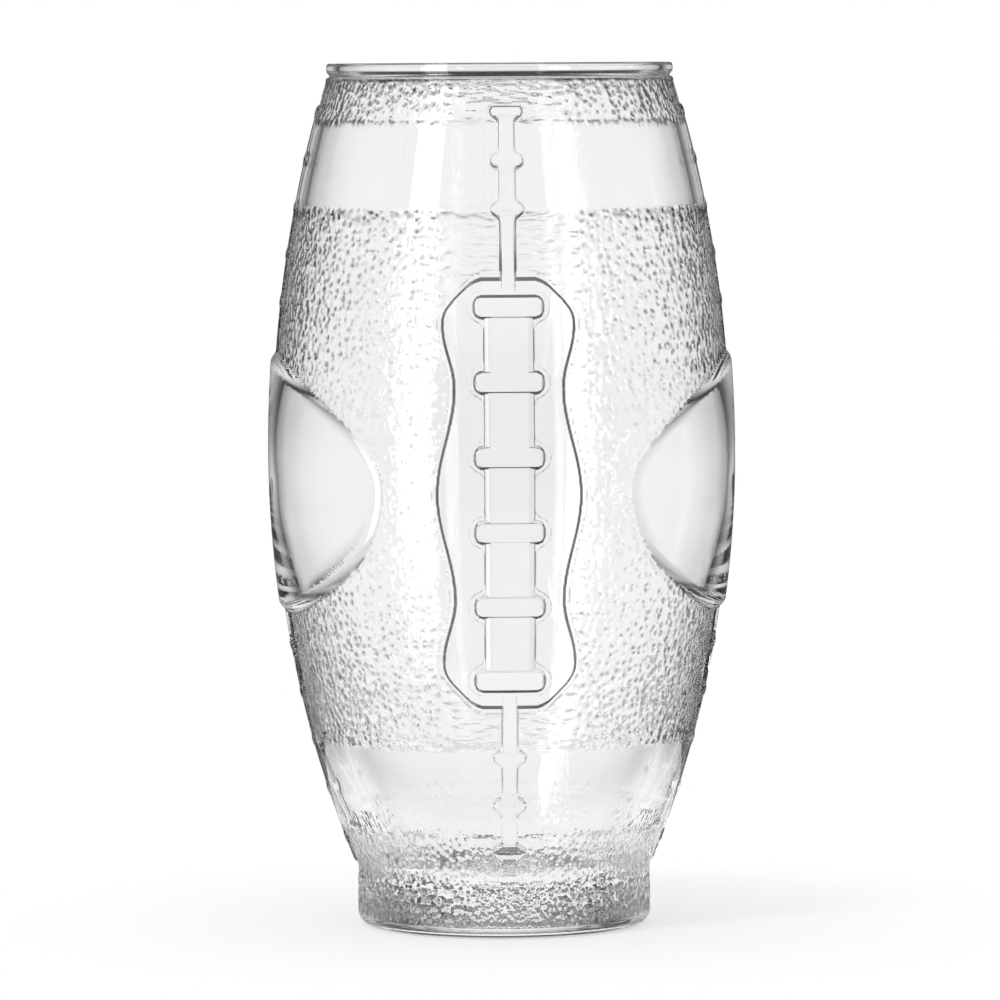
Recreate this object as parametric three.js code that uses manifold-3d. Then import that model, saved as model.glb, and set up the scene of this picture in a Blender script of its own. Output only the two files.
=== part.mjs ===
// Beer tumbler blown in a mould, in the shape of an American football, in one piece of clear glass.
// Millimetres, +Z up. The origin is on the tumbler's axis, in the plane that it stands on.
// The laces face -Y, and a smooth pad lies on each side, at +X and -X.

import * as THREE from 'three';
import { mergeVertices } from 'three/addons/utils/BufferGeometryUtils.js';
import Module from 'manifold-3d';

// Outer form: two long arcs that meet at the belly, upright there
const height = 168;
const bellyHeight = 92.4;
const bellyRadius = 44.6;
const neckDrop = 2;
const neckRadius = 33.75;

// Rim bead and the mouth inside it
const beadRadius = 34;
const rimWall = 2.5;

// Foot: an upright band with a rounded lower edge, on a flat ring round a shallow hollow
const footHeight = 11;
const footRadius = 28.6;
const footRounding = 2.6;
const ringWidth = 4.5;
const hollowDepth = 2;

// Inside of the tumbler
const bellyWall = 3.2;
const floorThickness = 9;
const lowerWall = 7.2;
const lowerWallHeight = 17;
const floorCorner = 10;

// Smooth side pads, ovals on the rounded surface
const padRelief = 1.2;
const padDrop = 5.6;
const padHalfHeight = 25.6;
const padHalfAngle = 58 * Math.PI / 180;

// Lace panel: flat ends, a lobe near each end, two waists and a lobe in the middle
const panelRelief = 0.8;
const panelDrop = 5.9;
const panelHalfHeight = 42;
const panelEndHalfWidth = 6.4;
const panelShoulder = { rise: 35.5, halfWidth: 12.3 };
const panelLobe = { rise: 31.6, halfWidth: 13.6 };
const panelWaist = { rise: 20.2, halfWidth: 11.5 };
const panelMiddleHalfWidth = 14.8;

// Laces: a band crossed by higher bars with round ends
const laceBandRelief = 1.15;
const laceBarRelief = 1.6;
const laceCount = 6;
const lacePitch = 14.2;
const laceBandHalfWidth = 4.85;
const laceBarHalfWidth = 7.9;
const laceBarHalfHeight = 2.2;
const laceFillet = 1.8;

// Seams over the front and both sides: narrow strips with a higher knob at each stitch
const seamRelief = 0.6;
const knobRelief = 1.1;
const seamHalfWidth = 1.45;
const knobHalfWidth = 3.2;
const knobHalfHeight = 0.95;
const knobFillet = 1.5;
const topKnobDrop = 9.2;
const upperKnobPitch = 9.2;
const bottomKnobRise = 5.9;
const lowerKnobPitch = 9.5;
const lowerSeamRise = 1;
const knobClearance = 4;
const tongueHalfWidth = 0.9;

// How finely the round forms are faceted
const sides = 48;
const wallRows = 6;
const cornerRows = 4;
const outlineSteps = 2;
const panelSteps = 24;
const padOutlineSteps = 32;

// Heights of the neck, the features round the belly and the ends of the seams
const neckHeight = height - neckDrop;
const padMiddle = bellyHeight - padDrop;
const panelMiddle = bellyHeight - panelDrop;
const topKnob = height - topKnobDrop;
const bottomKnob = footHeight + bottomKnobRise;
const lowerSeamEnd = footHeight + lowerSeamRise;

// Radius of an arc that is upright at one end and has moved in by drop over a rise
const arcRadius = (drop, rise) => (drop * drop + rise * rise) / (2 * drop);
const arcInset = (radius, rise) => radius - Math.sqrt(radius * radius - rise * rise);

const upperArc = arcRadius(bellyRadius - neckRadius, neckHeight - bellyHeight);
const lowerArc = arcRadius(bellyRadius - footRadius, bellyHeight - footHeight);

function outerRadius(z) {
  const arc = z > bellyHeight ? upperArc : lowerArc;
  return bellyRadius - arcInset(arc, Math.abs(z - bellyHeight));
}

const mouthRadius = beadRadius - rimWall;
const innerBellyRadius = bellyRadius - bellyWall;
const rounding = rimWall / 2;
const innerUpperArc = arcRadius(innerBellyRadius - mouthRadius, height - rounding - bellyHeight);
const innerLowerArc = arcRadius(
  innerBellyRadius - (outerRadius(lowerWallHeight) - lowerWall),
  bellyHeight - lowerWallHeight,
);

function innerRadius(z) {
  const arc = z > bellyHeight ? innerUpperArc : innerLowerArc;
  return innerBellyRadius - arcInset(arc, Math.abs(z - bellyHeight));
}

// Points of a quarter or part circle in the (radius, z) plane
function arcPoints(centreR, centreZ, radius, from, to, rows) {
  return Array.from({ length: rows + 1 }, (_, i) => {
    const angle = from + (to - from) * i / rows;
    return new THREE.Vector2(
      centreR + radius * Math.cos(angle),
      centreZ + radius * Math.sin(angle),
    );
  });
}

// Points of a wall's profile from below the belly to above it, as radius(z) gives them
function wallPoints(radius, from, to) {
  const heights = Array.from({ length: 2 * wallRows + 1 }, (_, i) => {
    const t = i / wallRows - 1;
    return bellyHeight + t * (t < 0 ? bellyHeight - from : to - bellyHeight);
  });
  return heights.map((z) => new THREE.Vector2(radius(z), z));
}

// Solid of revolution about Z from a profile of (radius, z) points that goes up
function turned(points) {
  const geometry = new THREE.LatheGeometry(points, sides);
  return geometry.rotateX(Math.PI / 2);
}

const beadCentre = beadRadius - rounding;
const ringOuter = footRadius - footRounding;
const ringInner = ringOuter - ringWidth;
const hollowRadius = arcRadius(hollowDepth, ringInner);
const hollowAngle = Math.asin(ringInner / hollowRadius);

// Glass without its relief, filled up to the rim
const body = turned([
  ...arcPoints(0, hollowDepth - hollowRadius, hollowRadius,
    Math.PI / 2, Math.PI / 2 - hollowAngle, cornerRows),
  ...arcPoints(ringOuter, footRounding, footRounding, -Math.PI / 2, 0, cornerRows),
  ...wallPoints(outerRadius, footHeight, neckHeight),
  ...arcPoints(beadCentre, height - rounding, rounding, 0, Math.PI / 2, cornerRows),
  new THREE.Vector2(0, height),
]);

// Space inside: a floor, a round corner that runs on into the wall, and an open mouth
const cornerZ = floorThickness + floorCorner;
const wallCentre = innerBellyRadius - innerLowerArc;
const cornerR = wallCentre
  + Math.sqrt((innerLowerArc - floorCorner) ** 2 - (bellyHeight - cornerZ) ** 2);
const cornerEnd = -Math.atan2(bellyHeight - cornerZ, cornerR - wallCentre);
const cornerPoints = arcPoints(cornerR, cornerZ, floorCorner, -Math.PI / 2, cornerEnd, cornerRows);
const cornerTop = cornerPoints[cornerRows].y;

const cavity = turned([
  new THREE.Vector2(0, floorThickness),
  ...cornerPoints,
  ...wallPoints(innerRadius, cornerTop, height - rounding).slice(1),
  ...arcPoints(beadCentre, height - rounding, rounding, Math.PI, Math.PI / 2, cornerRows).slice(1),
  new THREE.Vector2(beadCentre, height + rounding),
  new THREE.Vector2(0, height + rounding),
]);

// Solid of revolution that stands proud of the outer form by a relief
function reliefShell(relief) {
  return turned([
    new THREE.Vector2(0, footHeight),
    ...wallPoints((z) => outerRadius(z) + relief, footHeight, neckHeight),
    new THREE.Vector2(0, neckHeight),
  ]);
}

// Prism of an outline drawn in (across, up), reaching out from the axis at a quarter turn
function prism(outline, turn) {
  const depth = 2 * bellyRadius;
  const geometry = new THREE.ExtrudeGeometry(new THREE.Shape(outline),
    { depth, bevelEnabled: false });
  return geometry.rotateX(Math.PI / 2).rotateZ(turn * Math.PI / 2);
}

const mirrored = (points) => points.map((p) => new THREE.Vector2(-p.x, p.y)).reverse();

// Outline of an upright strip crossed by bars with round ends, drawn up its right-hand edge.
// Each fillet touches the strip's edge, and the bar or, where the bar is short, its round end.
function crossedStrip({ from, to, halfWidth, bars, barHalfWidth, barHalfHeight, fillet }) {
  const edge = new THREE.Path([new THREE.Vector2(0, from)]);
  const endX = barHalfWidth - barHalfHeight;
  const filletX = halfWidth + fillet;
  const reach = Math.min(0, endX - filletX);
  const rise = Math.sqrt((barHalfHeight + fillet) ** 2 - reach ** 2);
  const touch = Math.atan2(rise, reach);
  for (const z of bars) {
    const startsBelow = z - rise > from;
    const endsAbove = z + rise < to;
    if (startsBelow) {
      edge.lineTo(halfWidth, Math.max(from, edge.currentPoint.y));
      edge.absarc(filletX, z - rise, fillet, Math.PI, touch, true);
    }
    const capFrom = startsBelow ? touch - Math.PI : -Math.PI / 2;
    const capTo = endsAbove ? Math.PI - touch : Math.PI / 2;
    edge.absarc(endX, z, barHalfHeight, capFrom, capTo, false);
    if (endsAbove) edge.absarc(filletX, z + rise, fillet, -touch, -Math.PI, true);
  }
  if (edge.currentPoint.y < to) edge.lineTo(halfWidth, to);
  const right = edge.getPoints(outlineSteps).filter((p) => p.x > 0);
  return [...right, ...mirrored(right)];
}

// Outline of one bar with round ends
function barOutline(z, halfWidth, halfHeight) {
  const shape = { barHalfWidth: halfWidth, barHalfHeight: halfHeight, fillet: 0 };
  return crossedStrip({ from: z, to: z, halfWidth: 0, bars: [z], ...shape });
}

const panelTop = panelMiddle + panelHalfHeight;
const panelBottom = panelMiddle - panelHalfHeight;

// Panel's right-hand edge: a smooth curve through the lobes and waists, straight to the ends
function panelOutline() {
  const turns = [panelWaist, panelLobe, panelShoulder];
  const curve = new THREE.SplineCurve([
    ...turns.map((t) => new THREE.Vector2(t.halfWidth, panelMiddle - t.rise)).reverse(),
    new THREE.Vector2(panelMiddleHalfWidth, panelMiddle),
    ...turns.map((t) => new THREE.Vector2(t.halfWidth, panelMiddle + t.rise)),
  ]);
  const right = [
    new THREE.Vector2(panelEndHalfWidth, panelBottom),
    ...curve.getPoints(panelSteps),
    new THREE.Vector2(panelEndHalfWidth, panelTop),
  ];
  return [...right, ...mirrored(right)];
}

const laceSpan = lacePitch * (laceCount - 1);
const laceBars = Array.from({ length: laceCount },
  (_, i) => panelMiddle - laceSpan / 2 + lacePitch * i);
const laceOutline = crossedStrip({
  from: laceBars[0],
  to: laceBars[laceCount - 1],
  halfWidth: laceBandHalfWidth,
  bars: laceBars,
  barHalfWidth: laceBarHalfWidth,
  barHalfHeight: laceBarHalfHeight,
  fillet: laceFillet,
});

// Stitches at one pitch from a first one, up or down as far as a limit
function stitches(first, step, limit) {
  const count = Math.floor((limit - first) / step) + 1;
  return Array.from({ length: Math.max(1, count) }, (_, i) => first + step * i);
}

// Seams above and below a panel or pad, whose edge they run a little way under
const seamLap = 2;
function seamsPast(bottom, top) {
  const upperKnobs = stitches(topKnob, -upperKnobPitch, top + knobClearance).reverse();
  const lowerKnobs = stitches(bottomKnob, lowerKnobPitch, bottom - knobClearance);
  const shape = {
    halfWidth: seamHalfWidth,
    barHalfWidth: knobHalfWidth,
    barHalfHeight: knobHalfHeight,
    fillet: knobFillet,
  };
  return {
    strips: [
      crossedStrip({ from: top - seamLap, to: topKnob, bars: upperKnobs, ...shape }),
      crossedStrip({ from: lowerSeamEnd, to: bottom + seamLap, bars: lowerKnobs, ...shape }),
    ],
    knobs: [...upperKnobs, ...lowerKnobs].map((z) => barOutline(z, knobHalfWidth, knobHalfHeight)),
  };
}

// Narrow tongues that join the first and last lace to the panel's ends
const tongueOutline = [
  new THREE.Vector2(tongueHalfWidth, panelBottom + seamLap),
  new THREE.Vector2(tongueHalfWidth, panelTop - seamLap),
  new THREE.Vector2(-tongueHalfWidth, panelTop - seamLap),
  new THREE.Vector2(-tongueHalfWidth, panelBottom + seamLap),
];

// Pad outline: an oval measured round the surface, seen square on
const padOutline = Array.from({ length: padOutlineSteps }, (_, i) => {
  const turn = 2 * Math.PI * i / padOutlineSteps;
  const z = padMiddle + padHalfHeight * Math.sin(turn);
  return new THREE.Vector2(outerRadius(z) * Math.sin(padHalfAngle * Math.cos(turn)), z);
});

const wasm = await Module();
wasm.setup();

// Closed solid from a geometry, with its shared vertices merged
function solid(geometry) {
  geometry.deleteAttribute('normal');
  geometry.deleteAttribute('uv');
  const merged = mergeVertices(geometry, 1e-5);
  return new wasm.Manifold(new wasm.Mesh({
    numProp: 3,
    vertProperties: new Float32Array(merged.attributes.position.array),
    triVerts: new Uint32Array(merged.index.array),
  }));
}

// Outlines raised on the surface at a quarter turn from the laces: 0 in front, 1 at +X, -1 at -X
function raised(outlines, relief, turn) {
  const shell = solid(reliefShell(relief));
  return outlines.map((outline) => solid(prism(outline, turn)).intersect(shell));
}

const frontSeams = seamsPast(panelBottom, panelTop);
const sideSeams = seamsPast(padMiddle - padHalfHeight, padMiddle + padHalfHeight);
const laces = laceBars.map((z) => barOutline(z, laceBarHalfWidth, laceBarHalfHeight));
const relief = [
  ...raised([panelOutline()], panelRelief, 0),
  ...raised([laceOutline, tongueOutline], laceBandRelief, 0),
  ...raised(laces, laceBarRelief, 0),
  ...raised(frontSeams.strips, seamRelief, 0),
  ...raised(frontSeams.knobs, knobRelief, 0),
];
for (const turn of [-1, 1]) {
  relief.push(
    ...raised([padOutline], padRelief, turn),
    ...raised(sideSeams.strips, seamRelief, turn),
    ...raised(sideSeams.knobs, knobRelief, turn),
  );
}
const tumblerSolid = relief
  .reduce((whole, piece) => whole.add(piece), solid(body))
  .subtract(solid(cavity));

function geometryOf(manifold) {
  const mesh = manifold.getMesh();
  const geometry = new THREE.BufferGeometry();
  geometry.setAttribute('position', new THREE.BufferAttribute(mesh.vertProperties, mesh.numProp));
  geometry.setIndex(new THREE.BufferAttribute(mesh.triVerts, 1));
  geometry.computeVertexNormals();
  return geometry;
}

const clearGlass = new THREE.MeshStandardMaterial({
  name: 'clear_glass',
  color: 0xeef4f3,
  roughness: 0.03,
  metalness: 0,
  transparent: true,
  opacity: 0.35,
});

const tumbler = new THREE.Mesh(geometryOf(tumblerSolid), clearGlass);
tumbler.name = 'glass_tumbler';

const group = new THREE.Group();
group.add(tumbler);

export default group;
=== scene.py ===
"""Football-shaped beer tumbler of clear mould-blown glass, on a pale floor in soft studio light.

Lengths are worked out in millimetres, as the glassmaker's drawing would give them, and turned to
metres when a mesh is made. The tumbler stands on z = 0 with its laces towards -Y.
"""

import math

import bpy
import numpy as np
from mathutils import Euler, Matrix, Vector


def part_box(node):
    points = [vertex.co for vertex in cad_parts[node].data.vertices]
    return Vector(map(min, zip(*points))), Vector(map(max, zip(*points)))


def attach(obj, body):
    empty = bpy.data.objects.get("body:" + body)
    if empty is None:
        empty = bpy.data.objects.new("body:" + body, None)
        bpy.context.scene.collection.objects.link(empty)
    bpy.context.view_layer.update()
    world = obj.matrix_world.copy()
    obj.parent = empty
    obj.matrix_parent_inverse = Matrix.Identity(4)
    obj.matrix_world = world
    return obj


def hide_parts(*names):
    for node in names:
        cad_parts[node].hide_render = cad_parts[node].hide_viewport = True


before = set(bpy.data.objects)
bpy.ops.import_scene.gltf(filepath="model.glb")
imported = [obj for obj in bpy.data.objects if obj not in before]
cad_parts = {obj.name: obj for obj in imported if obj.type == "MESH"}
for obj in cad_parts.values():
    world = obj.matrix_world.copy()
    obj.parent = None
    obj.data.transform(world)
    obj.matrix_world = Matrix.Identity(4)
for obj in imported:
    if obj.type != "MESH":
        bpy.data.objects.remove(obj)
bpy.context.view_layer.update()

MM = 0.001
TAU = 2 * math.pi
FAR = 99.0

# Outer form: height and widths read from the frame, and the arcs between them
_, high = (np.array(corner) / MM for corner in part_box("glass_tumbler"))
HEIGHT = high[2]
PAD_RELIEF = 1.2
BELLY_RADIUS = high[0] - PAD_RELIEF
BELLY_HEIGHT = 0.55 * HEIGHT
NECK_HEIGHT = HEIGHT - 2
NECK_RADIUS = 33.5
BEAD_RADIUS = 33.7
RIM_WALL = 2.5
RIM_CORNER = 0.6
RIM_LIP = 1.6
RIM_NECK = 2.5
RIM_NECK_INSETS = (0.7, 0.6)
FOOT_HEIGHT = 11.0
FOOT_RADIUS = 28.6
FOOT_ROUNDING = 2.6
RING_WIDTH = 4.5
HOLLOW_DEPTH = 2.0
NECK_END = 165.0

# Inside. The wall follows the side pads a little way out, as blown glass does
BELLY_WALL = 2.2
INNER_PAD_RELIEF = 1.2
INNER_PAD_OVAL = (1.05, 0.9)
FLOOR_THICKNESS = 9.0
LOWER_WALL = 7.2
LOWER_WALL_HEIGHT = 17.0
FLOOR_CORNER = 10.0

# Skin: pebbles stand up to the outer form from a ground that lies a little below it, and sinks
# more at the lower sides. They end under whatever stands on the skin, their depth goes with the
# height, and only a share of it is left round the back
GROUND_DEPTH = 0.4
SIDE_SINK_HEIGHTS = (38, 48, 68, 82)
SIDE_SINK_DEPTHS = (0, 0.6, 0.7, 0)
PEBBLE_ZONE = (3.0, 164.8)
PEBBLE_ZONE_EDGE = 0.5
PEBBLE_DEPTH = 0.2
WEAR_HEIGHTS = (9, 12.5, 20, 40, 60, 75, 92, 105, 120, 135, 165)
WEAR_DEPTHS = (2.6, 0.8, 0.85, 1.05, 0.8, 0.45, 0.35, 0.5, 0.8, 0.93, 1.2)
COVER_EDGE = 0.6
PAD_COVER_EDGE = 0.8
BACK_SHARE = 0.25
BACK_ANGLE = (math.radians(55), math.radians(85))

# Pebbles: their pitch, and as shares of it the step from row to row, how far they are moved, and
# how far they reach
PEBBLE_PITCH = 1.8
PEBBLE_ROW_SHARE = 0.88
PEBBLE_SCATTER = 0.32
PEBBLE_SIZES = (0.82, 1.12)
PEBBLE_REACH = 0.6
PEBBLE_TALL = 1.15
PEBBLE_SHARPNESS = 7
PEBBLE_EASE = 0.5

# Dots in the pebbles, too fine for the mesh, on the wall unrolled at one radius
DOT_DEPTH = 0.25
DOT_PITCH = 1.7
DOT_RADIUS = 40.0
DOT_SCATTER = 0.8
DOT_REACH = 0.5
DOT_FALL = 1.6
DOT_LEAST = 0.45
DOT_SPREAD = 0.9
DOT_BACK_SHIFT = 500.0

# Ripples near the front and back middles, above the lower clear band
STREAK_ANGLE = (math.radians(10), math.radians(28))
STREAK_STRETCH = 0.35
STREAK_DEPTH = 0.4
STREAK_WAVE = 1.3
STREAK_WAVES_PER_DOT = 1.5
UPRIGHT_HEIGHTS = (25, 33)

# Clear bands without pebbles, by height
SMOOTH_BANDS = ((20.0, 37.0), (140.3, 157.0))
BAND_EDGE = 0.6
BAND_SLOPE = 3.0

# Underside, stippled so that it doesn't cling to a wet table
STIPPLE_DEPTH = 0.22
STIPPLE_PITCH = 2.6
STIPPLE_FADE = 1.5

# Side pads
PAD_MIDDLE = BELLY_HEIGHT - 5.6
PAD_HALF_HEIGHT = 25.6
PAD_HALF_ANGLE = math.radians(58)
PAD_HEIGHT = 1.0
PAD_SHOULDER = 2.4
PAD_FOOT = 0.07
PAD_POWER = 1.85
PAD_POWER_SWING = 0.25

# Width of the low step at the foot of pads, panel and laces
FOOT_EDGE = 0.2

# Lace panel and laces
PANEL_RELIEF = 0.7
PANEL_MIDDLE = BELLY_HEIGHT - 5.9
PANEL_HALF_HEIGHT = 42.0
PANEL_END_HALF_WIDTH = 6.4
PANEL_SHELF = 0.8
PANEL_EDGE = 0.85
PANEL_FOOT = 0.1
PANEL_FOOT_EDGE = 0.16
LACE_BAND_RELIEF = 0.74
LACE_BAR_RELIEF = 0.9
LACE_COUNT = 6
LACE_PITCH = 14.2
LACE_BAND_HALF_WIDTH = 4.85
LACE_BAR_HALF_WIDTH = 7.8
LACE_BAR_HALF_HEIGHT = 3.1
LACE_BROW_INSET = 1.0
LACE_FILLET = 1.4
LACE_BAND_EDGE = 0.4
LACE_BAND_STEP = 0.5
LACE_BAND_CROWN = 1.8
LACE_BROW_EDGE = 0.65
LACE_FOOT = 0.14
LACE_TIP_START = 5.8
LACE_TIP_RUN = 1.1
LACE_TIP_FALL = 0.8
TONGUE_RELIEF = 0.12
TONGUE_RUN = 7.0

# Seams
SEAM_RELIEF = 0.45
KNOB_RELIEF = 0.06
SIDE_SEAM_RELIEF = 0.1
SIDE_KNOB_RELIEF = 0.2
SEAM_HALF_WIDTH = 1.75
KNOB_HALF_WIDTH = 3.4
KNOB_HALF_HEIGHT = 1.5
SEAM_FILLET = 1.4
SEAM_EDGE = 0.6
KNOB_EDGE = 1.2
TOP_KNOB = HEIGHT - 9.2
UPPER_KNOB_PITCH = 9.2
BOTTOM_KNOB = FOOT_HEIGHT + 5.9
LOWER_KNOB_PITCH = 9.5
SEAM_FOOT_END = FOOT_HEIGHT + 1
SEAM_TOP_END = TOP_KNOB + 1.4
SEAM_OVERLAP = 2.0
PANEL_SEAM_OVERLAP = 5.0
SIDE_SEAM_REACH = 1.5
KNOB_CLEARANCE = 4.0


def smoothstep(x):
    """0 below 0, 1 above 1, and 3x^2 - 2x^3 between."""
    x = np.clip(x, 0, 1)
    return x * x * (3 - 2 * x)


def ramp(inside, width):
    """Height of a rounded step: rises from 0 to 1 while the distance inside goes over the width."""
    return smoothstep(inside / width + 0.5)


def bevel(inside, width):
    """Height of a straight bevel: rises evenly from 0 to 1 while the distance inside goes over the
    width, half of it on each side of zero."""
    return np.clip(inside / width + 0.5, 0, 1)


def round_step(inside, width):
    """Height of a step with a crisp foot and a round brow: 1 - (1 - distance / width)^2."""
    t = np.clip(inside / width, 0, 1)
    return t * (2 - t)


def arc_radius(drop, rise):
    """Radius of an arc that is upright at one end and moves in by drop over a rise."""
    return (drop * drop + rise * rise) / (2 * drop)


def arc_inset(radius, rise):
    """How far such an arc has moved in at a rise: radius - sqrt(radius^2 - rise^2)."""
    return radius - np.sqrt(radius * radius - rise * rise)


UPPER_ARC = arc_radius(BELLY_RADIUS - NECK_RADIUS, NECK_HEIGHT - BELLY_HEIGHT)
LOWER_ARC = arc_radius(BELLY_RADIUS - FOOT_RADIUS, BELLY_HEIGHT - FOOT_HEIGHT)


def outer_radius(z):
    """Radius of the smooth outer form at a height: one arc above the belly and one below."""
    rise = np.clip(z, FOOT_HEIGHT, NECK_HEIGHT) - BELLY_HEIGHT
    return BELLY_RADIUS - arc_inset(np.where(rise > 0, UPPER_ARC, LOWER_ARC), rise)


MOUTH_RADIUS = BEAD_RADIUS - RIM_WALL
MOUTH_HEIGHT = HEIGHT - RIM_WALL / 2
INNER_BELLY = BELLY_RADIUS - BELLY_WALL
INNER_UPPER_ARC = arc_radius(INNER_BELLY - MOUTH_RADIUS, MOUTH_HEIGHT - BELLY_HEIGHT)
INNER_LOWER_ARC = arc_radius(
    INNER_BELLY - (float(outer_radius(LOWER_WALL_HEIGHT)) - LOWER_WALL),
    BELLY_HEIGHT - LOWER_WALL_HEIGHT,
)


def inner_radius(z):
    """Radius of the inside at a height, from an arc above the belly and one below."""
    rise = z - BELLY_HEIGHT
    return INNER_BELLY - arc_inset(np.where(rise > 0, INNER_UPPER_ARC, INNER_LOWER_ARC), rise)


def arc(centre_r, centre_z, radius, start, end, steps=24):
    """Points (r, z) of a circular arc between two angles."""
    angle = np.linspace(start, end, steps + 1)
    return np.stack([centre_r + radius * np.cos(angle), centre_z + radius * np.sin(angle)], 1)


def wall(radius, start, end, steps=200):
    """Points (r, z) of a wall whose radius is a function of height."""
    z = np.linspace(start, end, steps + 1)
    return np.stack([radius(z), z], 1)


def rim_section():
    """Points (r, z) of the fire-polished lip: upright sides with rounded upper corners, and below
    them a bevel in to the neck on each side."""
    inner, corner_z = BEAD_RADIUS - RIM_WALL, HEIGHT - RIM_CORNER
    lip, neck = HEIGHT - RIM_LIP, HEIGHT - RIM_NECK
    quarter = math.pi / 2
    return np.concatenate([
        [[BEAD_RADIUS - RIM_NECK_INSETS[0], neck], [BEAD_RADIUS, lip]],
        arc(BEAD_RADIUS - RIM_CORNER, corner_z, RIM_CORNER, 0, quarter, 8),
        arc(inner + RIM_CORNER, corner_z, RIM_CORNER, quarter, 2 * quarter, 8),
        [[inner, lip], [inner + RIM_NECK_INSETS[1], neck]],
    ])


# Marks of the half section's stretches
UNDERSIDE, PLAIN, OUTER, INNER = -1.0, 0.0, 1.0, 3.0


def glass_profile():
    """The tumbler's half section as one line, from under its middle round the rim to its floor.

    Returns points (r, z), the mark of its stretch and a place along the line for each point. A
    stretch with a small radius gets more room there, and a plain one less, so that equal steps of
    place give short faces only where they are needed.
    """
    ring_outer = FOOT_RADIUS - FOOT_ROUNDING
    ring_inner = ring_outer - RING_WIDTH
    hollow = arc_radius(HOLLOW_DEPTH, ring_inner)
    hollow_angle = math.asin(ring_inner / hollow)
    corner_z = FLOOR_THICKNESS + FLOOR_CORNER
    wall_centre = INNER_BELLY - INNER_LOWER_ARC
    corner_r = wall_centre + math.sqrt(
        (INNER_LOWER_ARC - FLOOR_CORNER) ** 2 - (BELLY_HEIGHT - corner_z) ** 2)
    corner_end = -math.atan2(BELLY_HEIGHT - corner_z, corner_r - wall_centre)
    corner = arc(corner_r, corner_z, FLOOR_CORNER, corner_end, -math.pi / 2)
    quarter = math.pi / 2
    stretches = [
        (arc(0, HOLLOW_DEPTH - hollow, hollow, quarter, quarter - hollow_angle), 1, UNDERSIDE),
        (np.array([[ring_inner, 0.0], [ring_outer, 0.0]]), 1, UNDERSIDE),
        (arc(ring_outer, FOOT_ROUNDING, FOOT_ROUNDING, -quarter, 0), 2.5, PLAIN),
        (wall(lambda z: 0 * z + FOOT_RADIUS, FOOT_ROUNDING, FOOT_HEIGHT), 1, OUTER),
        (wall(outer_radius, FOOT_HEIGHT, NECK_END), 1, OUTER),
        (rim_section(), 5, PLAIN),
        (wall(inner_radius, NECK_END, corner[0, 1]), 0.8, INNER),
        (corner, 1, PLAIN),
        (np.array([[corner_r, FLOOR_THICKNESS], [0.0, FLOOR_THICKNESS]]), 0.6, PLAIN),
    ]
    points, marks, rates = [], [], []
    for stretch, rate, mark in stretches:
        points.append(stretch)
        marks.append(np.full(len(stretch), mark))
        rates.append(np.full(len(stretch), rate))
    points, marks, rates = np.concatenate(points), np.concatenate(marks), np.concatenate(rates)
    step = np.linalg.norm(np.diff(points, axis=0), axis=1) * rates[1:]
    place = np.concatenate([[0], np.cumsum(step)])
    return points, marks, place


def round_box(x, z, half_width, half_height):
    """Distance from the edge of a bar with round ends, negative inside it."""
    reach = np.maximum(np.abs(x) - (half_width - half_height), 0)
    return np.hypot(reach, z) - half_height


def filleted(a, b, fillet):
    """Distance from two joined shapes with a fillet between: a polynomial smooth minimum."""
    blend = np.clip(0.5 + 0.5 * (b - a) / fillet, 0, 1)
    return b + (a - b) * blend - fillet * blend * (1 - blend)


def nearest(z, heights):
    """Signed distance in height from the nearest of some heights."""
    gaps = z[..., None] - np.asarray(heights)
    pick = np.argmin(np.abs(gaps), axis=-1)
    return np.take_along_axis(gaps, pick[..., None], -1)[..., 0]


def panel_half_width(rise):
    """Half width of the lace panel at a rise from its middle: a lobe in the middle, a waist, and
    a lobe near the end, joined by half waves, and cut off by straight diagonals."""
    middle, waist, lobe = 14.8, 11.5, 13.6
    waist_rise, lobe_rise = 20.2, 31.8
    lean, corner = 0.98, 1.5
    inner = waist + (middle - waist) * (1 + np.cos(math.pi * rise / waist_rise)) / 2
    swing = np.clip((rise - waist_rise) / (lobe_rise - waist_rise), 0, 1.5)
    outer = waist + (lobe - waist) * (1 - np.cos(math.pi * swing)) / 2
    wave = np.where(rise < waist_rise, inner, outer)
    diagonal = PANEL_END_HALF_WIDTH + (PANEL_HALF_HEIGHT - rise) * lean
    return filleted(wave, diagonal, corner)


def panel_inside(x, z):
    """Distance inside the edge of the lace panel: the smaller of the distances inside its sides
    and its ends, with a fillet at the corners."""
    rise, corner = np.abs(z - PANEL_MIDDLE), 2.0
    return filleted(panel_half_width(rise) - np.abs(x), PANEL_HALF_HEIGHT - rise, corner)


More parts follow.
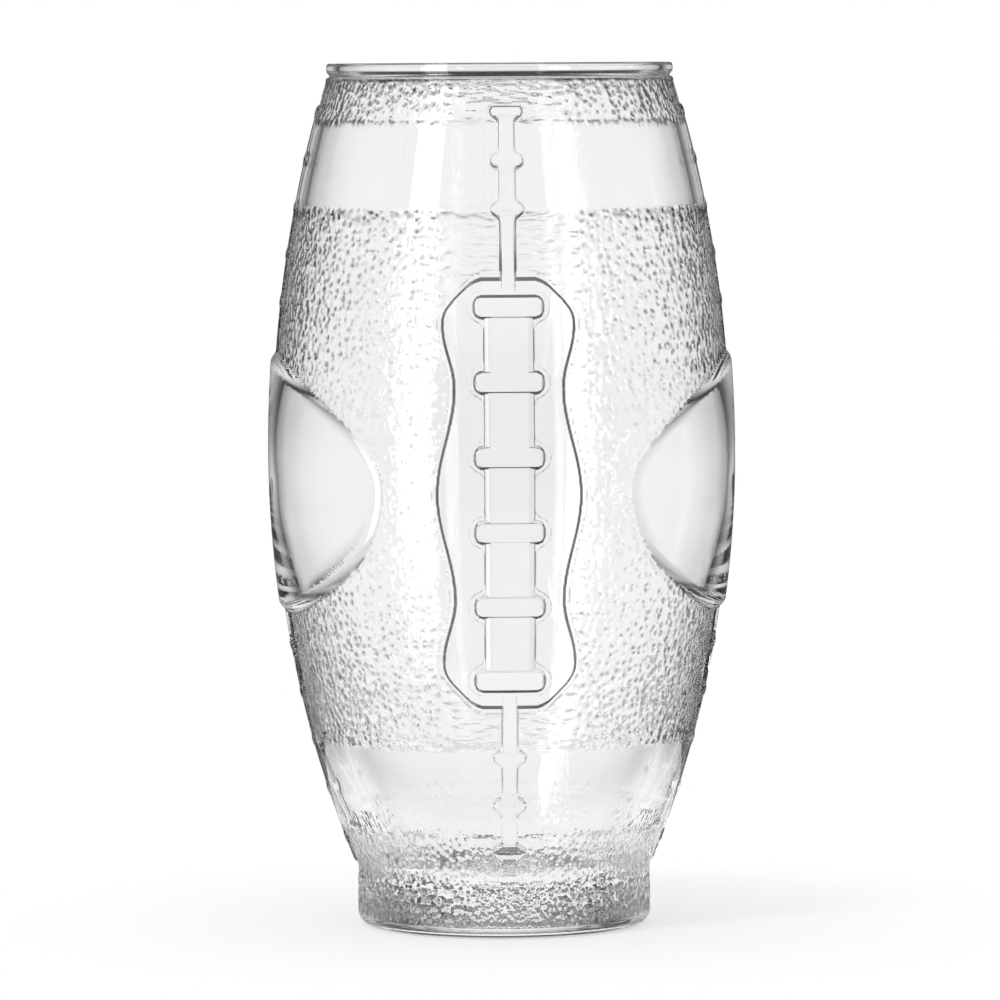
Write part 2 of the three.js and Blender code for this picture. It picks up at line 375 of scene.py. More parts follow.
def lace_relief(x, z):
    """Height of the laces above their panel, and how near a steep edge of them lies.

    The laces are an upright band, a little crowned, bars across it that stand higher, and a low
    foot round both. The height is the greatest of the three. The foot has a round-ended place for
    each bar, filleted into the band's, and a bar's brow lies a little inside it. The bars sink
    towards their tips, and past the outermost bars there is no band.
    """
    rise, off = np.abs(z - PANEL_MIDDLE), np.abs(x)
    span = LACE_PITCH * (LACE_COUNT - 1)
    away = nearest(z, PANEL_MIDDLE - span / 2 + LACE_PITCH * np.arange(LACE_COUNT))
    place = round_box(x, away, LACE_BAR_HALF_WIDTH, LACE_BAR_HALF_HEIGHT)
    brow = -round_box(x, away, LACE_BAR_HALF_WIDTH - LACE_BROW_INSET,
                      LACE_BAR_HALF_HEIGHT - LACE_BROW_INSET)
    strip = np.maximum(off - LACE_BAND_HALF_WIDTH, rise - span / 2)
    foot = -filleted(strip, place, LACE_FILLET)
    fall = LACE_TIP_FALL * smoothstep((off - LACE_TIP_START) / LACE_TIP_RUN)
    tall = LACE_BAR_RELIEF * (1 - fall)
    crown = LACE_BAND_STEP + (1 - LACE_BAND_STEP) * smoothstep(-strip / LACE_BAND_CROWN)
    band = LACE_BAND_RELIEF * crown * ramp(-strip - LACE_BAND_EDGE / 2, LACE_BAND_EDGE)
    low = LACE_FOOT * ramp(foot - FOOT_EDGE / 2, FOOT_EDGE)
    height = np.maximum(np.maximum(low, band), tall * bevel(brow, LACE_BROW_EDGE))
    near = np.minimum(np.abs(foot - FOOT_EDGE / 2), np.abs(brow))
    return height, np.minimum(near, np.abs(strip + LACE_BAND_EDGE / 2))


def seam_relief(x, z, bottom, top, strip_relief, knob_relief, end_relief=None,
                overlap=SEAM_OVERLAP):
    """How much of the seams' height is reached at a point below or above a panel or pad, that
    height, and the distance inside the seams' edge.

    A seam is a low strip. At each stitch a short round-ended bar is filleted into it, whose middle
    may stand higher. Where an end relief is given, the strip rises to it before it runs onto the
    panel.
    """
    count = int((TOP_KNOB - top - KNOB_CLEARANCE) / UPPER_KNOB_PITCH) + 1
    upper = TOP_KNOB - UPPER_KNOB_PITCH * np.arange(count)
    count = int((bottom - KNOB_CLEARANCE - BOTTOM_KNOB) / LOWER_KNOB_PITCH) + 1
    lower = BOTTOM_KNOB + LOWER_KNOB_PITCH * np.arange(count)
    away = nearest(z, np.concatenate([lower, upper]))
    knob = round_box(x, away, KNOB_HALF_WIDTH, KNOB_HALF_HEIGHT)
    ends = np.maximum(np.minimum(z - SEAM_FOOT_END, bottom + overlap - z),
                      np.minimum(z - top + overlap, SEAM_TOP_END - z))
    inside = np.minimum(-filleted(np.abs(x) - SEAM_HALF_WIDTH, knob, SEAM_FILLET), ends)
    if end_relief is not None:
        gap = np.maximum(np.maximum(z - top, bottom - z), 0)
        strip_relief = end_relief + (strip_relief - end_relief) * smoothstep(gap / TONGUE_RUN)
    share = ramp(inside - SEAM_EDGE / 2, SEAM_EDGE)
    return share, strip_relief + knob_relief * ramp(-knob - KNOB_EDGE / 2, KNOB_EDGE), inside


def pad_share(angle, z):
    """How much of a side pad's step is reached at an angle from its middle, the pad's height there,
    the distance inside its edge, and its oval's measure, which is 1 on the edge.

    The pad is an oval on the rounded surface, pointed in its upper half and full in its lower
    one, with a round shoulder on a low foot. The measure is (across^p + up^p)^(1/p), where p goes
    with the height, and the height falls away to the front and back tips as 1 - across^2.
    """
    across, up = angle / PAD_HALF_ANGLE, (z - PAD_MIDDLE) / PAD_HALF_HEIGHT
    power = PAD_POWER - PAD_POWER_SWING * np.tanh(3 * up)
    oval = (np.abs(across) ** power + np.abs(up) ** power) ** (1 / power) + 1e-9
    slope = np.hypot((np.abs(across) / oval) ** (power - 1) / PAD_HALF_ANGLE / BELLY_RADIUS,
                     (np.abs(up) / oval) ** (power - 1) / PAD_HALF_HEIGHT)
    inside = (1 - oval) / slope
    step = PAD_FOOT * ramp(inside - FOOT_EDGE / 2, FOOT_EDGE)
    share = step + (1 - PAD_FOOT) * round_step(inside, PAD_SHOULDER)
    return share, PAD_HEIGHT * np.maximum(1 - across ** 2, 0), inside, oval


def away_from_parting(angle):
    """0 near the front and back middles, where the mould parts sideways, and 1 away from them."""
    near, far = STREAK_ANGLE
    off = np.arcsin(np.abs(np.sin(angle)))
    return smoothstep((off - near) / (far - near))


class Pebbles:
    """Grain of the skin: rounded pebbles on staggered rows, each moved a little off its place."""

    def __init__(self, pitch, seed):
        """Draws each row's start, and for each pebble its shift, lift and size."""
        draw = np.random.default_rng(seed)
        self.row_step = pitch * PEBBLE_ROW_SHARE
        self.rows = int(HEIGHT / self.row_step) + 4
        row_z = (np.arange(self.rows) - 1) * self.row_step
        self.count = np.round(TAU * outer_radius(row_z) / pitch).astype(int)
        most = self.count.max()
        self.start = draw.random(self.rows)
        self.shift = draw.uniform(-PEBBLE_SCATTER, PEBBLE_SCATTER, (self.rows, most))
        self.lift = draw.uniform(-PEBBLE_SCATTER, PEBBLE_SCATTER, (self.rows, most)) * self.row_step
        self.size = draw.uniform(*PEBBLE_SIZES, (self.rows, most)) * pitch * PEBBLE_REACH

    def height(self, angle, z):
        """Nearly 1 at a pebble's top and 0 between pebbles: a soft maximum of paraboloids, each
        1 - (distance / size)^2, over the nearest pebbles of the five nearest rows, eased off
        below 1. Near the front and back middles the distance is squeezed sideways, which draws
        the pebbles out."""
        total = np.zeros(np.broadcast(angle, z).shape)
        radius = outer_radius(z)
        upright = smoothstep((z - UPRIGHT_HEIGHTS[0]) / (UPRIGHT_HEIGHTS[1] - UPRIGHT_HEIGHTS[0]))
        squeeze = 1 - (1 - STREAK_STRETCH) * (1 - away_from_parting(angle)) * upright
        middle = np.floor(z / self.row_step).astype(int) + 1
        turn = np.mod(angle, TAU) / TAU
        for row_offset in (-2, -1, 0, 1, 2):
            row = np.clip(middle + row_offset, 0, self.rows - 1)
            count = self.count[row]
            place = turn * count - self.start[row]
            first = np.floor(place).astype(int)
            for column_offset in (-1, 0, 1, 2):
                column = np.mod(first + column_offset, count)
                centre = first + column_offset + self.shift[row, column]
                across = (place - centre) / count * TAU * radius * squeeze
                up = z - (row - 1) * self.row_step - self.lift[row, column]
                reach = self.size[row, column]
                bump = 1 - (across ** 2 + (up / PEBBLE_TALL) ** 2) / reach ** 2
                total += np.exp(PEBBLE_SHARPNESS * bump)
        return np.maximum(filleted(np.log(total) / PEBBLE_SHARPNESS, 1.0, PEBBLE_EASE), 0)


PEBBLES = Pebbles(PEBBLE_PITCH, seed=11)


def skin_relief(angle, z):
    """Relief of the outer wall over its smooth form, how deep the dots in its pebbles are, how deep
    its pebbles would be at the front, and how near a steep edge of the laces and any other edge
    lie.

    The angle runs from the laces. The skin's ground lies below the smooth bands, panel and pads,
    a little more at the lower sides, and the relief is the greatest of what rises from it: the
    panel with its laces, the seams and the pads. The pebbles are added to that. They fade out at
    the bands and under whatever stands on the skin, and are shallowest at the belly and at the
    back, where a smooth field mirrors the panel.
    """
    radius = outer_radius(z)
    front = np.cos(angle) > 0
    x = radius * np.sin(angle)
    low_z, high_z = PEBBLE_ZONE
    skin = ramp(np.minimum(z - low_z, high_z - z), PEBBLE_ZONE_EDGE)
    banded, risen = np.zeros_like(skin), np.zeros_like(skin)
    for start, end in SMOOTH_BANDS:
        inside = np.minimum(z - start, end - z)
        banded = np.maximum(banded, ramp(inside, BAND_EDGE))
        risen = np.maximum(risen, ramp(inside + BAND_SLOPE / 3, BAND_SLOPE))
    off_back = np.arccos(np.clip(-np.cos(angle), -1, 1))
    near, far = BACK_ANGLE
    back = BACK_SHARE + (1 - BACK_SHARE) * smoothstep((off_back - near) / (far - near))
    sink = np.interp(z, SIDE_SINK_HEIGHTS, SIDE_SINK_DEPTHS) * np.sin(angle) ** 2
    ground = -(GROUND_DEPTH * (1 - risen) + sink) * skin * back
    inside = panel_inside(x, z)
    laces, lace_edge = lace_relief(x, z)
    brow = PANEL_SHELF + PANEL_EDGE / 2
    panel = (PANEL_FOOT * ramp(inside - PANEL_FOOT_EDGE / 2, PANEL_FOOT_EDGE)
             + (1 - PANEL_FOOT) * bevel(inside - brow, PANEL_EDGE))
    raised = np.where(front, ground + (PANEL_RELIEF - ground) * panel + laces, ground)
    lace_edge = np.where(front, np.minimum(lace_edge, np.abs(inside - brow)), FAR)
    covered = ramp(inside, COVER_EDGE)
    edges = [lace_edge, np.where(front, np.abs(inside - FOOT_EDGE / 2), FAR)]
    share, height, seam_inside = seam_relief(
        np.where(front, x, FAR), z, PANEL_MIDDLE - PANEL_HALF_HEIGHT,
        PANEL_MIDDLE + PANEL_HALF_HEIGHT, SEAM_RELIEF, KNOB_RELIEF,
        PANEL_RELIEF + TONGUE_RELIEF, PANEL_SEAM_OVERLAP)
    raised = np.maximum(raised, ground + (height - ground) * share)
    edges.append(np.abs(seam_inside - SEAM_EDGE / 2))
    covered = np.maximum(covered, ramp(seam_inside, COVER_EDGE))
    for side in (-1, 1):
        turn = np.mod(angle - side * TAU / 4 + math.pi, TAU) - math.pi
        share, height, pad_inside, _ = pad_share(turn, z)
        raised = np.maximum(raised, ground + (height - ground) * share)
        y = np.where(np.abs(turn) < SIDE_SEAM_REACH, radius * np.sin(turn), FAR)
        share, height, seam_inside = seam_relief(
            y, z, PAD_MIDDLE - PAD_HALF_HEIGHT, PAD_MIDDLE + PAD_HALF_HEIGHT,
            SIDE_SEAM_RELIEF, SIDE_KNOB_RELIEF)
        raised = np.maximum(raised, ground + (height - ground) * share)
        covered = np.maximum(covered, np.maximum(ramp(pad_inside, PAD_COVER_EDGE),
                                                 ramp(seam_inside, COVER_EDGE)))
        edges += [np.abs(pad_inside - FOOT_EDGE / 2), np.abs(seam_inside - SEAM_EDGE / 2)]
    grain = skin * (1 - banded) * (1 - covered) * np.interp(z, WEAR_HEIGHTS, WEAR_DEPTHS)
    away = away_from_parting(angle)
    pebbles = PEBBLE_DEPTH * grain * back * (STREAK_DEPTH + (1 - STREAK_DEPTH) * away)
    relief = raised + pebbles * PEBBLES.height(angle, z)
    return relief, grain * back, grain, lace_edge, np.min(np.stack(edges), axis=0)


def stipple(x, y):
    """Height of the stippled underside: half the depth times 1 + cos(bent x) cos(bent y), where
    each bent place is the place with two slow sine waves added."""
    wave = TAU / STIPPLE_PITCH

    def bent(along, beside, side_rate, own_rate, start):
        """A place along one axis with two slow sine waves added."""
        return (along + 0.5 * np.sin(side_rate * wave * beside + start)
                + 0.4 * np.sin(own_rate * wave * along))

    bent_x, bent_y = bent(x, y, 0.31, 0.17, 1.0), bent(y, x, 0.27, 0.21, 2.0)
    return STIPPLE_DEPTH * (0.5 + 0.5 * np.cos(wave * bent_x) * np.cos(wave * bent_y))


# How the skin is cut into cells: the number round and the length of the widest, how often they
# are halved, and by level how near an edge and from what depth of pebbles a cell is split
BASE_COLUMNS = 79
BASE_STEP = 3.34
FINEST = 4
CELL_REACH = 0.7
LACE_MARGINS = (1.2, 0.9, 0.6, 0.3)
EDGE_MARGINS = (1.0, 0.7, 0.3)
GRAIN_DEPTHS = (0.02, 0.5)
RIM_LEVELS = 1
RIM_MARGIN = 0.5
UNDERSIDE_LEVELS = 2


def is_outer(mark):
    """Whether a mark, or one between two, is nearest to the outer wall's."""
    return (mark > OUTER / 2) & (mark < (OUTER + INNER) / 2)


def tumbler_point(column, row, profile, rows):
    """Place of a point of the skin, in millimetres, from its column and row on the finest grid."""
    points, marks, place = profile
    along = row / rows * place[-1]
    r = np.interp(along, place, points[:, 0])
    z = np.interp(along, place, points[:, 1])
    mark = np.interp(along, place, marks)
    angle = column * (TAU / (BASE_COLUMNS * 2 ** FINEST))
    relief = np.where(is_outer(mark), skin_relief(angle, z)[0], 0)
    oval = np.minimum(*(pad_share(np.mod(angle + side * TAU / 4, TAU) - math.pi, z)[3]
                        for side in (1, 3)))
    start, run = INNER_PAD_OVAL
    relief = relief + np.where(mark > (OUTER + INNER) / 2,
                               INNER_PAD_RELIEF * smoothstep((start - oval) / run), 0)
    r = r + relief
    x, y = r * np.sin(angle), -r * np.cos(angle)
    inwards = (FOOT_RADIUS - FOOT_ROUNDING - r) / STIPPLE_FADE
    z = z + np.where(mark < UNDERSIDE / 2, stipple(x, y) * smoothstep(inwards), 0)
    return np.stack([x, y, z], -1)


def wanted_splits(profile, base_rows):
    """For each level of cell, which cells are split in four: first where an edge of the relief or
    the pebbled skin needs it, then so that no cell lies beside one of half its half size."""
    points, marks, place = profile
    splits = [None] * FINEST
    for level in range(FINEST - 1, -1, -1):
        columns, rows = BASE_COLUMNS * 2 ** level, base_rows * 2 ** level
        angle = (np.arange(columns) + 0.5) * TAU / columns
        along = (np.arange(rows) + 0.5) / rows * place[-1]
        z = np.interp(along, place, points[:, 1])
        mark = np.interp(along, place, marks)
        outer, under = is_outer(mark), mark < UNDERSIDE / 2
        angle, z = np.meshgrid(angle, z)
        _, _, grain, lace_edge, near = skin_relief(angle, z)
        cell = BASE_STEP / 2 ** level
        split = lace_edge < CELL_REACH * cell + LACE_MARGINS[level]
        if level < len(EDGE_MARGINS):
            split |= near < CELL_REACH * cell + EDGE_MARGINS[level]
        if level < len(GRAIN_DEPTHS):
            split |= grain > GRAIN_DEPTHS[level]
        split &= outer[:, None]
        if level < RIM_LEVELS:
            split |= z > NECK_END - RIM_MARGIN
        if level < UNDERSIDE_LEVELS:
            split |= under[:, None]
        if level < FINEST - 1:
            finer = splits[level + 1]
            grown = finer.copy()
            for shift in (-1, 1):
                grown |= np.roll(finer, shift, 1)
            wide = grown.copy()
            wide[1:] |= grown[:-1]
            wide[:-1] |= grown[1:]
            split |= wide.reshape(rows, 2, columns, 2).any(axis=(1, 3))
        splits[level] = split
    return splits


def tumbler_mesh():
    """Vertices, triangles, vertex normals and depths of dots of the whole glass as one closed skin.

    The skin is a sheet wrapped round the axis, made of square cells. A cell beside smaller ones
    is a fan round its middle that takes in their corners, so the sheet has no cracks. The sheet's
    first and last rows shrink to a point on the axis. A normal is the cross product of two short
    steps on the surface, one round it and one along the half section.
    """
    profile = glass_profile()
    base_rows = int(round(profile[2][-1] / BASE_STEP))
    splits = wanted_splits(profile, base_rows)
    scale = 2 ** FINEST
    columns, rows = BASE_COLUMNS * scale, base_rows * scale

    def corner(row, column):
        """Number of a point of the finest grid. The first row is one point, and so is the last."""
        number = row * columns + np.mod(column, columns)
        return np.where(row == 0, 0, np.where(row == rows, rows * columns, number))

    triangles = []
    exists = np.ones((base_rows, BASE_COLUMNS), bool)
    for level in range(FINEST + 1):
        split = splits[level] if level < FINEST else np.zeros_like(exists)
        size = scale >> level
        leaf = exists & ~split
        row, column = np.nonzero(leaf)
        top = np.zeros_like(split)
        top[:-1] = (split & exists)[1:]
        bottom = np.zeros_like(split)
        bottom[1:] = (split & exists)[:-1]
        right, left = np.roll(split, -1, 1), np.roll(split, 1, 1)
        hangs = [side[row, column] for side in (bottom, right, top, left)]
        plain = ~np.any(hangs, axis=0)
        r0, c0 = row * size, column * size
        ring = [(r0, c0), (r0, c0 + size), (r0 + size, c0 + size), (r0 + size, c0)]
        a, b, c, d = (corner(*p)[plain] for p in ring)
        flip = ((row + column) % 2 == 0)[plain]
        triangles.append(np.stack([a, b, np.where(flip, c, d)], 1))
        triangles.append(np.stack([np.where(flip, a, b), c, d], 1))
        fan = ~plain
        half = size // 2
        middle = corner(r0 + half, c0 + half)
        halves = [(r0, c0 + half), (r0 + half, c0 + size), (r0 + size, c0 + half), (r0 + half, c0)]
        for side in range(4):
            start, end = corner(*ring[side]), corner(*ring[(side + 1) % 4])
            between = corner(*halves[side])
            whole, cut = fan & ~hangs[side], fan & hangs[side]
            triangles.append(np.stack([middle, start, end], 1)[whole])
            triangles.append(np.stack([middle, start, between], 1)[cut])
            triangles.append(np.stack([middle, between, end], 1)[cut])
        if level < FINEST:
            exists = np.repeat(np.repeat(split & exists, 2, 0), 2, 1)
    triangles = np.concatenate(triangles)
    same = ((triangles[:, 0] == triangles[:, 1]) | (triangles[:, 1] == triangles[:, 2])
            | (triangles[:, 2] == triangles[:, 0]))
    triangles = triangles[~same]
    used, faces = np.unique(triangles, return_inverse=True)
    faces = faces.reshape(-1, 3)
    row, column = used // columns, used % columns
    vertices = tumbler_point(column, row, profile, rows)
    tiny = 0.15
    east = tumbler_point(column + tiny, row, profile, rows)
    west = tumbler_point(column - tiny, row, profile, rows)
    ahead = tumbler_point(column, np.minimum(row + tiny, rows), profile, rows)
    behind = tumbler_point(column, np.maximum(row - tiny, 0), profile, rows)
    normals = np.cross(east - west, ahead - behind)
    length = np.linalg.norm(normals, axis=1, keepdims=True)
    normals = normals / np.maximum(length, 1e-12)
    normals[row == 0] = (0, 0, -1)
    normals[row == rows] = (0, 0, 1)
    along = row / rows * profile[2][-1]
    height = np.interp(along, profile[2], profile[0][:, 1])
    outer = is_outer(np.interp(along, profile[2], profile[1]))
    grain = skin_relief(column * TAU / columns, height)[1] * outer
    return vertices, faces, normals, grain


def new_object(name, vertices, faces, normals=None):
    """A mesh object from points in millimetres, smooth shaded."""
    mesh = bpy.data.meshes.new(name)
    mesh.from_pydata(np.asarray(vertices) * MM, [], faces)
    mesh.shade_smooth()
    if normals is not None:
        mesh.normals_split_custom_set_from_vertices(normals)
    mesh.update()
    obj = bpy.data.objects.new(name, mesh)
    bpy.context.scene.collection.objects.link(obj)
    return obj


def linear(hex_colour):
    """Linear RGBA of an sRGB hex colour."""
    channels = [int(hex_colour[i:i + 2], 16) / 255 for i in (1, 3, 5)]
    return [c / 12.92 if c <= 0.04045 else ((c + 0.055) / 1.055) ** 2.4 for c in channels] + [1.0]


def add(tree, kind, inputs=(), **settings):
    """Adds a node, sets its properties, and sets or links its inputs, given by name or in order.
    An input is a value, a socket, or a node, whose first output it then takes."""
    node = tree.nodes.new("ShaderNode" + kind)
    for name, value in settings.items():
        setattr(node, name, value)
    inputs = inputs if isinstance(inputs, dict) else dict(enumerate(inputs))
    for socket, source in inputs.items():
        if isinstance(source, bpy.types.Node):
            source = source.outputs[0]
        if isinstance(source, bpy.types.NodeSocket):
            tree.links.new(source, node.inputs[socket])
        else:
            node.inputs[socket].default_value = source
    return node


def clear_glass():
    """Soda-lime glass, blown in a mould and fire polished at the rim: clear, with a bright gloss,
    so that its look comes from what it bends and mirrors.

    The mould's engraved skin left a dot of about a millimetre at each pebble. The dots lie on the
    wall unrolled from its front and back middles. Within the streak angle they are drawn out
    sideways, and bent waves take over from them towards the middle.
    """
    material = bpy.data.materials.new("blown_soda_lime_glass")
    material.use_nodes = True
    tree = material.node_tree
    tree.nodes.clear()

    place = add(tree, "TexCoord").outputs["Object"]
    x, y, z = add(tree, "SeparateXYZ", [place]).outputs
    flat = add(tree, "Math", [y, y], operation="MULTIPLY")
    flat = add(tree, "Math", [x, x, flat], operation="MULTIPLY_ADD")
    flat = add(tree, "Math", [flat], operation="SQRT")
    turn = add(tree, "Math", [x, flat], operation="DIVIDE")
    turn = add(tree, "Math", [turn], operation="ARCSINE")

    # Drawn out sideways near the front and back middles, above the lower clear band
    middle = sum(STREAK_ANGLE) / 2
    near = add(tree, "Math", [turn, middle], operation="MINIMUM")
    near = add(tree, "Math", [near, -middle], operation="MAXIMUM")
    low, high = (height * MM for height in UPRIGHT_HEIGHTS)
    upright = add(tree, "MapRange", {
        "Value": z, "From Min": low, "From Max": high, "To Min": 0.0, "To Max": STREAK_STRETCH - 1,
    }, interpolation_type="SMOOTHSTEP")
    turn = add(tree, "Math", [near, upright, turn], operation="MULTIPLY_ADD")

    # The back takes its dots from far up the pattern, so that they don't mirror the front's
    across = add(tree, "Math", [turn, DOT_RADIUS / DOT_PITCH], operation="MULTIPLY")
    back = add(tree, "Math", [y, 0.0], operation="GREATER_THAN")
    back = add(tree, "Math", [back, DOT_BACK_SHIFT], operation="MULTIPLY")
    up = add(tree, "Math", [z, 1 / (DOT_PITCH * MM), back], operation="MULTIPLY_ADD")
    spot = add(tree, "CombineXYZ", [across, up])
    cells = add(tree, "TexVoronoi", {"Vector": spot, "Scale": 1.0, "Randomness": DOT_SCATTER},
                voronoi_dimensions="2D")
    dot = add(tree, "MapRange", {
        "Value": cells.outputs["Distance"], "From Min": 0.0, "From Max": DOT_REACH,
        "To Min": 1.0, "To Max": 0.0})
    dot = add(tree, "Math", [dot, DOT_FALL], operation="POWER")
    chance = add(tree, "SeparateXYZ", [cells.outputs["Color"]])
    share = add(tree, "Math", [chance, DOT_SPREAD, DOT_LEAST], operation="MULTIPLY_ADD")
    dot = add(tree, "Math", [dot, share], operation="MULTIPLY")

    # Bent waves instead of dots towards the middles
    waves = add(tree, "TexNoise", {"Vector": spot, "Scale": STREAK_WAVES_PER_DOT, "Detail": 1.0},
                noise_dimensions="2D")
    waves = add(tree, "Math", [waves, STREAK_WAVE], operation="MULTIPLY")
    off = add(tree, "Math", [near], operation="ABSOLUTE")
    streak = add(tree, "MapRange", {
        "Value": off, "From Min": STREAK_ANGLE[0], "From Max": middle,
        "To Min": 1.0, "To Max": 0.0}, interpolation_type="SMOOTHSTEP")
    height = add(tree, "Mix", {"Factor": streak, "A": dot, "B": waves})
    grain = add(tree, "Attribute", attribute_name="grain").outputs["Fac"]
    height = add(tree, "Math", [height, grain], operation="MULTIPLY")
    bump = add(tree, "Bump", {"Height": height, "Distance": DOT_DEPTH * MM})

    surface = add(tree, "BsdfPrincipled", {
        "Base Color": linear("#fdfdfd"),
        "Roughness": 0.0,
        "IOR": 1.52,
        "Transmission Weight": 1.0,
        "Normal": bump,
    })
    add(tree, "OutputMaterial", {"Surface": surface})
    return material


# Camera: place and aim that give the photograph's view, and its lens in pixels of the frame
CAMERA_DISTANCE = 1340.0
CAMERA_HEIGHT = 169.0
CAMERA_TURN = math.radians(-1.9)
CAMERA_AIM = math.radians(0.016)
CAMERA_PITCH = math.radians(3.684)
CAMERA_ROLL = math.radians(-0.34)
FOCAL_PIXELS = 6872.0
FRAME_PIXELS = 1000.0
SENSOR_WIDTH = 36.0
VIEW_END = 100.0

# Floor
FLOOR_RADIUS = 150.0
FLOOR_SIDES = 96
FLOOR_GAP = 0.2
FLOOR_LIFT = 0.5
FLOOR_FADE = (60.0, 115.0)
FLOOR_LEVEL = 1.0

# Light levels: all round, on what shows through the glass, and in its gloss
AMBIENT = 0.55
BACKLIGHT = 1.02
GLOSS_LEVEL = 0.12
DARK_LEVEL = 0.02

# Brightness of what shows through the glass, as (degrees, level) by bearing from straight behind
# it and by elevation: a panel behind, a paler one at each side, and a low sweep from beside the
# panel round to the front
BACK_BEARING = (
    (0, 1.0), (4, 0.975), (8, 0.92), (12, 0.86), (16, 0.79), (20, 0.69), (24, 0.53), (28, 0.33),
    (32, 0.15), (36, 0.06), (44, 0.03), (60, 0.0), (180, 0.0))
BACK_ELEVATION = (
    (-90, 0.9), (-58, 0.9), (-46, 0.3), (-33, 0.08), (-28, 0.22), (-22, 0.5), (-16, 0.84),
    (-10, 1.0), (-4, 1.0), (0, 0.98), (4, 0.85), (8, 0.63), (12, 0.43), (16, 0.27), (20, 0.13),
    (26, 0.0), (90, 0.0))
SIDE_BEARING = (
    (0, 0.0), (40, 0.0), (46, 0.2), (54, 0.5), (62, 0.65), (72, 0.7), (90, 0.85), (105, 0.65),
    (120, 0.3), (135, 0.1), (150, 0.0), (180, 0.0))
SIDE_ELEVATION = (
    (-90, 0.0), (-60, 0.1), (-40, 0.25), (-25, 0.45), (-12, 0.6), (-4, 0.95), (10, 1.0), (20, 0.7),
    (35, 0.2), (50, 0.0), (90, 0.0))
LOW_BEARING = ((0, 0.0), (34, 0.0), (41, 0.5), (48, 0.8), (180, 0.85))
LOW_ELEVATION = (
    (-90, 0.9), (-45, 0.9), (-35, 1.0), (-17, 1.0), (-12, 0.6), (-7, 0.1), (0, 0.0), (90, 0.0))
SWEEPS = (
    (BACK_BEARING, BACK_ELEVATION), (SIDE_BEARING, SIDE_ELEVATION), (LOW_BEARING, LOW_ELEVATION))


def studio_world():
    """White for the camera. What shows through the glass is the brightest of the sweeps, each its
    level by bearing times its level by elevation, and dark elsewhere. The glass's gloss shows a
    dim room, and all else is lit by a plain grey."""
    world = bpy.data.worlds.new("studio")
    bpy.context.scene.world = world
    world.use_nodes = True
    tree = world.node_tree
    tree.nodes.clear()

    direction = add(tree, "TexCoord").outputs["Generated"]
    x, y, z = add(tree, "SeparateXYZ", [direction]).outputs
    x_squared = add(tree, "Math", [x, x], operation="MULTIPLY")
    y_squared = add(tree, "Math", [y, y], operation="MULTIPLY")
    flat = add(tree, "Math", [x_squared, y_squared], operation="ADD")
    flat = add(tree, "Math", [flat], operation="SQRT")
    ahead_x = add(tree, "Math", [x, -math.sin(CAMERA_TURN)], operation="MULTIPLY")
    ahead_y = add(tree, "Math", [y, math.cos(CAMERA_TURN)], operation="MULTIPLY")
    ahead = add(tree, "Math", [ahead_x, ahead_y], operation="ADD")
    bearing = add(tree, "Math", [ahead, flat], operation="DIVIDE")
    bearing = add(tree, "Math", [bearing], operation="ARCCOSINE")
    bearing = add(tree, "Math", [bearing, math.pi], operation="DIVIDE")
    elevation = add(tree, "Math", [z], operation="ARCSINE")
    elevation = add(tree, "Math", [elevation, 1 / math.pi, 0.5], operation="MULTIPLY_ADD")

    level = DARK_LEVEL
    for by_bearing, by_elevation in SWEEPS:
        curves = []
        for value, start, steps in ((bearing, 0, by_bearing), (elevation, 0.5, by_elevation)):
            node = add(tree, "FloatCurve", {"Value": value})
            steps = [(start + degrees / 180, share) for degrees, share in steps]
            line = node.mapping.curves[0]
            for place, share in steps[1:-1]:
                line.points.new(place, share)
            line.points[0].location = steps[0]
            line.points[-1].location = steps[-1]
            node.mapping.update()
            curves.append(node)
        sweep = add(tree, "Math", curves, operation="MULTIPLY")
        level = add(tree, "Math", [level, sweep], operation="MAXIMUM")
    level = add(tree, "Math", [level, BACKLIGHT], operation="MULTIPLY")

    path = add(tree, "LightPath").outputs
    other = add(tree, "Mix", {"Factor": path["Is Glossy Ray"], "A": AMBIENT, "B": GLOSS_LEVEL})
    level = add(tree, "Mix", {"Factor": path["Is Transmission Ray"], "A": other, "B": level})
    level = add(tree, "Mix", {"Factor": path["Is Camera Ray"], "A": level, "B": 1.0})
    background = add(tree, "Background", {"Color": (1, 1, 1, 1), "Strength": level})
    add(tree, "OutputWorld", {"Surface": background})


def floor_material():
    """White matt sweep. The camera sees it lit by the lamps and lifted to white, and fading into
    the white behind. Through the glass it shows near the foot, and fades there into what the
    world shows."""
    material = bpy.data.materials.new("white_sweep")
    material.use_nodes = True
    tree = material.node_tree
    tree.nodes.clear()

    path = add(tree, "LightPath").outputs
    place = add(tree, "TexCoord").outputs["Object"]
    away = add(tree, "VectorMath", [place], operation="LENGTH").outputs["Value"]
    start, end = (distance * MM for distance in FLOOR_FADE)
    fade = add(tree, "MapRange", {"Value": away, "From Min": start, "From Max": end},
               interpolation_type="SMOOTHSTEP")

    matt = add(tree, "BsdfDiffuse", {"Color": linear("#e9e9e9")})
    lift = add(tree, "Math", [path["Is Camera Ray"], FLOOR_LIFT], operation="MULTIPLY")
    glow = add(tree, "Emission", {"Color": (1, 1, 1, 1), "Strength": lift})
    lit = add(tree, "AddShader", [matt, glow])
    white = add(tree, "Emission", {"Color": (1, 1, 1, 1), "Strength": 1.0})
    seen = add(tree, "MixShader", [fade, lit, white])

    near = add(tree, "Emission", {"Color": (1, 1, 1, 1), "Strength": FLOOR_LEVEL})
    clear = add(tree, "BsdfTransparent")
    through = add(tree, "MixShader", [fade, near, clear])
    surface = add(tree, "MixShader", [path["Is Transmission Ray"], seen, through])
    add(tree, "OutputMaterial", {"Surface": surface})
    return material


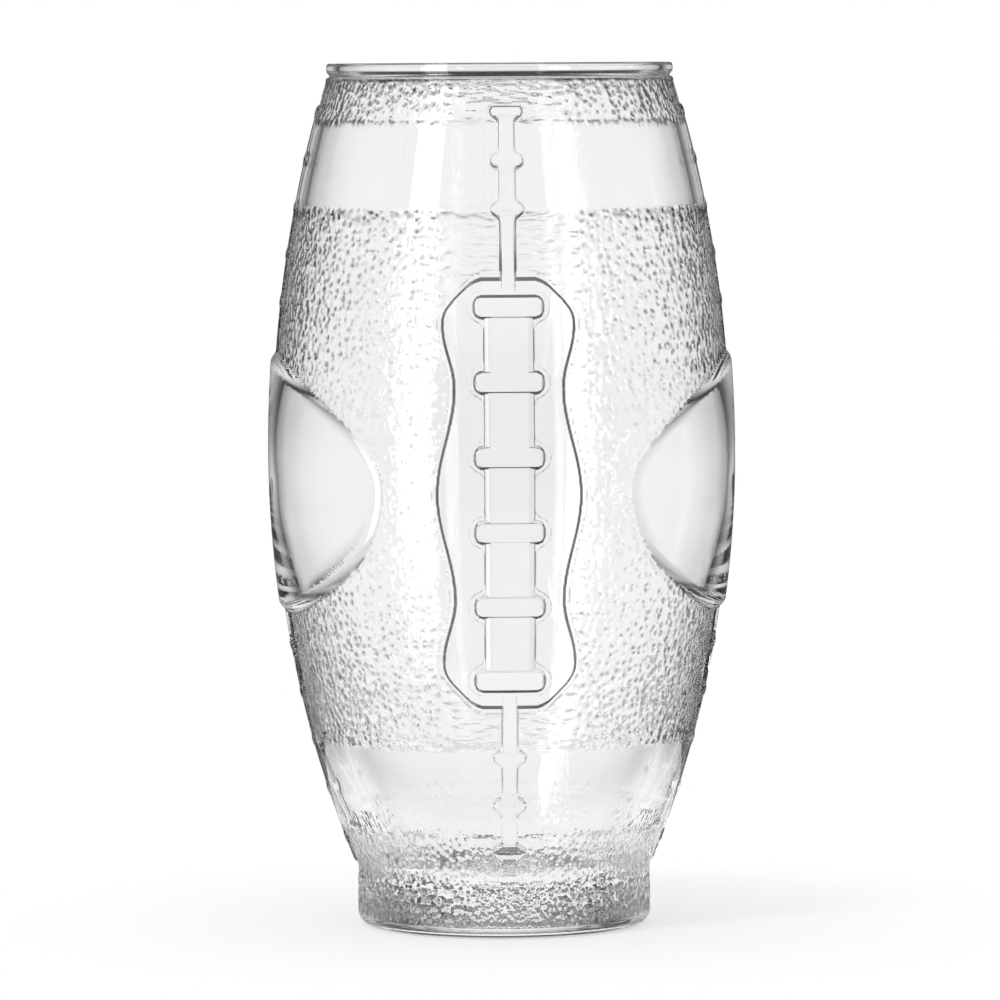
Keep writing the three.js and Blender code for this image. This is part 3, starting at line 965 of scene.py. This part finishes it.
def studio_floor():
    """Round floor a hair below the glass."""
    angle = np.arange(FLOOR_SIDES) * TAU / FLOOR_SIDES
    rim = np.stack([FLOOR_RADIUS * np.cos(angle), FLOOR_RADIUS * np.sin(angle)], 1)
    vertices = np.column_stack([rim, np.full(len(rim), -FLOOR_GAP)])
    floor = new_object("studio_floor", vertices, [list(range(len(rim)))])
    floor.data.materials.append(floor_material())


def lamp(name, bearing, distance, height, width, tall, radiance):
    """Soft rectangular lamp at a bearing from the camera's side, positive to the right, upright
    and facing the glass. Its power is radiance times pi times its area."""
    data = bpy.data.lights.new(name, "AREA")
    data.shape = "RECTANGLE"
    data.size, data.size_y = width * MM, tall * MM
    data.energy = radiance * math.pi * data.size * data.size_y
    obj = bpy.data.objects.new(name, data)
    angle = CAMERA_TURN + math.radians(bearing)
    x, y = distance * math.sin(angle), -distance * math.cos(angle)
    obj.location = (x * MM, y * MM, height * MM)
    obj.rotation_euler = (math.pi / 2, 0, angle)
    obj.visible_camera = False
    bpy.context.scene.collection.objects.link(obj)


def studio_camera():
    """Long lens a little above the rim, looking slightly down, as the photograph was taken."""
    data = bpy.data.cameras.new("camera")
    data.sensor_width = SENSOR_WIDTH
    data.sensor_fit = "HORIZONTAL"
    data.lens = FOCAL_PIXELS / FRAME_PIXELS * data.sensor_width
    data.clip_end = VIEW_END
    obj = bpy.data.objects.new("camera", data)
    x = CAMERA_DISTANCE * math.sin(CAMERA_TURN)
    y = -CAMERA_DISTANCE * math.cos(CAMERA_TURN)
    obj.location = (x * MM, y * MM, CAMERA_HEIGHT * MM)
    level = Euler((math.pi / 2 - CAMERA_PITCH, 0, CAMERA_TURN + CAMERA_AIM)).to_matrix()
    roll = Euler((0, 0, CAMERA_ROLL)).to_matrix()
    obj.rotation_euler = (level @ roll).to_euler()
    bpy.context.scene.collection.objects.link(obj)
    bpy.context.scene.camera = obj


studio_camera()
studio_world()
studio_floor()
lamp("softbox_left", bearing=-44.5, distance=1500, height=250, width=440, tall=1900, radiance=4.5)
lamp("strip_right", bearing=29, distance=1500, height=250, width=120, tall=1900, radiance=1.8)

vertices, faces, normals, grain = tumbler_mesh()
tumbler = new_object("glass_tumbler_skin", vertices, faces, normals)
tumbler.data.attributes.new("grain", "FLOAT", "POINT").data.foreach_set("value", grain)
tumbler.data.materials.append(clear_glass())
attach(tumbler, "root")
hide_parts("glass_tumbler")

# Light crosses four faces of the wall or more, and turns back inside it many times
scene = bpy.context.scene
scene.view_settings.view_transform = "Standard"
scene.cycles.max_bounces = 32
scene.cycles.transmission_bounces = 24
scene.cycles.glossy_bounces = 16
